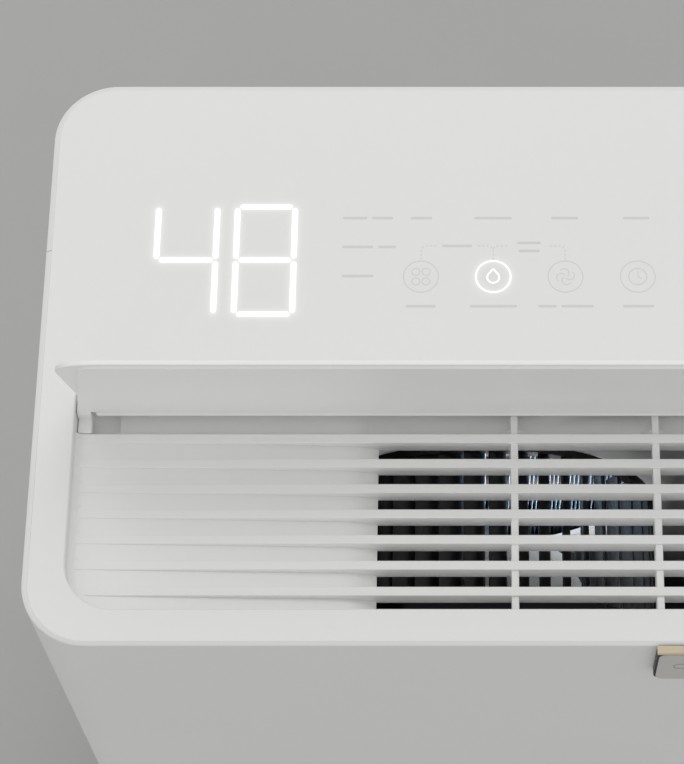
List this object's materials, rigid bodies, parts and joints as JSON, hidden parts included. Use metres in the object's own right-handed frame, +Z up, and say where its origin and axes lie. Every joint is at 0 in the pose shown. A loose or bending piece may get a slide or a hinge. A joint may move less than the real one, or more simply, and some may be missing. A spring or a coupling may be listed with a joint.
{
  "type": "dehumidifier",
  "caption": "White cabinet dehumidifier with a hinged outlet flap over a finned top grille, touch controls, front water bucket, rear filter, and swivel casters.",
  "frame": {"origin": "on the floor under the middle of the cabinet, at the centre of the bounding box base", "axes": "+X to the right seen from the front, +Y from the front with the badge to the rear, +Z up"},
  "size_m": [0.3954, 0.2916, 0.7016],
  "materials": {
    "white_plastic": "warm white moulded ABS, fine satin texture",
    "grey_plastic": "mid grey moulded plastic",
    "dark_plastic": "near-black moulded plastic",
    "badge_metal": "champagne-gold satin plate",
    "circuit_board": "green solder mask",
    "display_white": "white light-guide block with lit digits",
    "steel": "plain turned steel",
    "coated_fins": "blue hydrophilic coating",
    "bare_fins": "bare aluminium",
    "copper": "drawn copper, slightly dulled",
    "black_paint": "black enamel over pressed steel",
    "rubber": "matt black rubber",
    "aluminium_can": "drawn aluminium can",
    "clear_grey_plastic": "smoky translucent plastic",
    "float_foam": "closed-cell foam",
    "filter_fabric": "fine dark nylon mesh"
  },
  "bodies": {
    "cabinet": {"badge": "badge_metal", "base_pan": "grey_plastic", "bucket_switch": "dark_plastic", "capillary_tube": "copper", "compressor": "black_paint", "compressor_foot_1": "rubber", "compressor_foot_2": "rubber", "compressor_foot_3": "rubber", "condenser_bends": "copper", "condenser_fins": "bare_fins", "control_board": "circuit_board", "cord_inlet": "rubber", "discharge_pipe": "copper", "display_module": "display_white", "drain_port": "grey_plastic", "drip_tray": "white_plastic", "electronics_box": "grey_plastic", "evaporator_bends": "copper", "evaporator_fins": "coated_fins", "fan_front_plate": "grey_plastic", "fan_motor": "steel", "fan_rear_plate": "grey_plastic", "fan_scroll": "dark_plastic", "filter_drier": "copper", "front_casing": "white_plastic", "grip_left": "grey_plastic", "grip_right": "grey_plastic", "humidity_sensor": "white_plastic", "inner_frame": "grey_plastic", "main_board": "circuit_board", "outlet_grille": "white_plastic", "rear_casing": "white_plastic", "run_capacitor": "aluminium_can", "suction_pipe": "copper", "terminal_cover": "grey_plastic", "top_panel": "white_plastic"},
    "flap": {"outlet_flap": "white_plastic"},
    "fan": {"fan_wheel": "dark_plastic", "fan_shaft": "steel", "fan_nut": "steel"},
    "bucket": {"water_bucket": "clear_grey_plastic", "bucket_front": "white_plastic", "bucket_lid": "grey_plastic"},
    "float": {"bucket_float": "float_foam"},
    "filter": {"filter_frame": "white_plastic", "filter_mesh": "filter_fabric"},
    "drain_plug": {"drain_cap": "rubber"},
    "swivel_front_left": {"caster_fork_front_left": "dark_plastic", "caster_axle_front_left": "steel"},
    "wheel_front_left": {"caster_wheel_front_left": "rubber"},
    "swivel_front_right": {"caster_fork_front_right": "dark_plastic", "caster_axle_front_right": "steel"},
    "wheel_front_right": {"caster_wheel_front_right": "rubber"},
    "swivel_rear_left": {"caster_fork_rear_left": "dark_plastic", "caster_axle_rear_left": "steel"},
    "wheel_rear_left": {"caster_wheel_rear_left": "rubber"},
    "swivel_rear_right": {"caster_fork_rear_right": "dark_plastic", "caster_axle_rear_right": "steel"},
    "wheel_rear_right": {"caster_wheel_rear_right": "rubber"}
  },
  "joints": [
    {"name": "flap_hinge", "type": "hinge", "parent": "cabinet", "child": "flap", "pos_m": [0, -0.0258, 0.608], "axis": [1, 0, 0], "range_deg": [0, 75]},
    {"name": "fan_spin", "type": "hinge", "parent": "cabinet", "child": "fan", "pos_m": [0.008, -0.1053, 0.498], "axis": [0, 1, 0], "continuous": true},
    {"name": "bucket_slide", "type": "slide", "parent": "cabinet", "child": "bucket", "axis": [0, -1, 0], "range_m": [0, 0.25]},
    {"name": "float_hinge", "type": "hinge", "parent": "bucket", "child": "float", "pos_m": [0.1, -0.0042, 0.232], "axis": [-1, 0, 0], "range_deg": [0, 20]},
    {"name": "filter_slide", "type": "slide", "parent": "cabinet", "child": "filter", "axis": [0, 1, 0], "range_m": [0, 0.06]},
    {"name": "drain_plug_pull", "type": "slide", "parent": "cabinet", "child": "drain_plug", "axis": [0, 1, 0], "range_m": [0, 0.02]},
    {"name": "swivel_front_left", "type": "hinge", "parent": "cabinet", "child": "swivel_front_left", "pos_m": [-0.15, -0.098, 0.04], "axis": [0, 0, 1], "continuous": true},
    {"name": "roll_front_left", "type": "hinge", "parent": "swivel_front_left", "child": "wheel_front_left", "pos_m": [-0.15, -0.089, 0.0155], "axis": [1, 0, 0], "continuous": true},
    {"name": "swivel_front_right", "type": "hinge", "parent": "cabinet", "child": "swivel_front_right", "pos_m": [0.15, -0.098, 0.04], "axis": [0, 0, 1], "continuous": true},
    {"name": "roll_front_right", "type": "hinge", "parent": "swivel_front_right", "child": "wheel_front_right", "pos_m": [0.15, -0.089, 0.0155], "axis": [1, 0, 0], "continuous": true},
    {"name": "swivel_rear_left", "type": "hinge", "parent": "cabinet", "child": "swivel_rear_left", "pos_m": [-0.15, 0.098, 0.04], "axis": [0, 0, 1], "continuous": true},
    {"name": "roll_rear_left", "type": "hinge", "parent": "swivel_rear_left", "child": "wheel_rear_left", "pos_m": [-0.15, 0.107, 0.0155], "axis": [1, 0, 0], "continuous": true},
    {"name": "swivel_rear_right", "type": "hinge", "parent": "cabinet", "child": "swivel_rear_right", "pos_m": [0.15, 0.098, 0.04], "axis": [0, 0, 1], "continuous": true},
    {"name": "roll_rear_right", "type": "hinge", "parent": "swivel_rear_right", "child": "wheel_rear_right", "pos_m": [0.15, 0.107, 0.0155], "axis": [1, 0, 0], "continuous": true}
  ]
}
